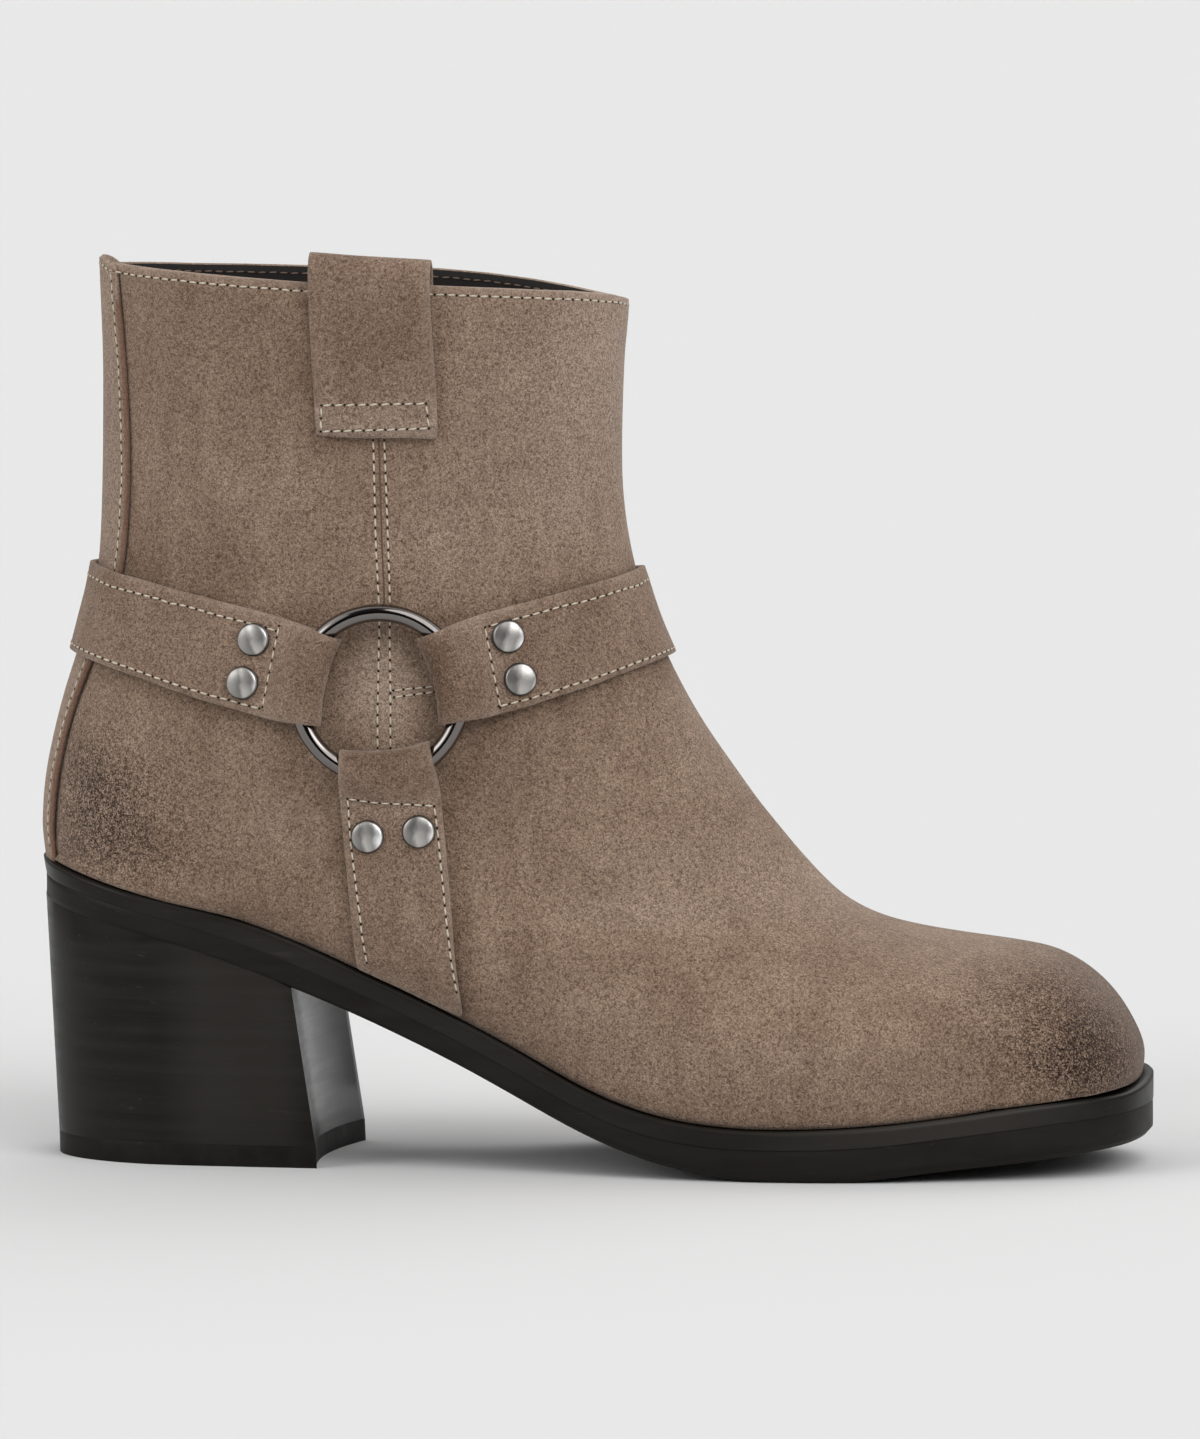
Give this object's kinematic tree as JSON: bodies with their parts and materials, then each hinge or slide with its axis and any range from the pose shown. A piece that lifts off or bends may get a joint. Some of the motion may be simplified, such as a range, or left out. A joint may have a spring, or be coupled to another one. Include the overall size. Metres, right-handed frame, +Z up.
{
  "type": "ankle boot",
  "caption": "Suede ankle boot for a right foot with block heel, welted sole and harness straps that meet at metal rings above the ankle.",
  "frame": {"origin": "bottom centre of the boot's bounding box, on the floor", "axes": "+X towards the toe, -Y towards the outer side of the foot, +Z up"},
  "size_m": [0.2672, 0.0919, 0.2181],
  "materials": {
    "upper_suede": "taupe suede, burnished darker at toe and heel",
    "strap_suede": "taupe suede with pale stitching",
    "insole_board": "dark matte lining",
    "sole_rubber": "black satin",
    "heel_block": "black satin",
    "heel_tip_rubber": "black matte",
    "ring_steel": "dark nickel, polished",
    "rivet_nickel": "satin nickel"
  },
  "bodies": {
    "boot": {"upper": "upper_suede", "back_stay": "upper_suede", "pull_loop": "upper_suede", "heel_strap": "strap_suede", "instep_strap": "strap_suede", "down_strap_outer": "strap_suede", "down_strap_inner": "strap_suede", "insole": "insole_board", "welt": "sole_rubber", "outsole": "sole_rubber", "heel": "heel_block", "heel_tip": "heel_tip_rubber", "rivet_heel_1": "rivet_nickel", "rivet_heel_2": "rivet_nickel", "rivet_heel_3": "rivet_nickel", "rivet_heel_4": "rivet_nickel", "rivet_instep_1": "rivet_nickel", "rivet_instep_2": "rivet_nickel", "rivet_instep_3": "rivet_nickel", "rivet_instep_4": "rivet_nickel", "rivet_down_outer_1": "rivet_nickel", "rivet_down_outer_2": "rivet_nickel", "rivet_down_inner_1": "rivet_nickel", "rivet_down_inner_2": "rivet_nickel"},
    "ring_outer": {"ring_outer": "ring_steel"},
    "ring_inner": {"ring_inner": "ring_steel"}
  },
  "joints": [
    {"name": "ring_outer_spin", "type": "hinge", "parent": "boot", "child": "ring_outer", "pos_m": [-0.04772, -0.03876, 0.114], "axis": [0.043, -0.9966, 0.071], "continuous": true},
    {"name": "ring_inner_spin", "type": "hinge", "parent": "boot", "child": "ring_inner", "pos_m": [-0.04764, 0.03872, 0.11397], "axis": [0.0602, 0.9961, 0.064], "continuous": true}
  ]
}
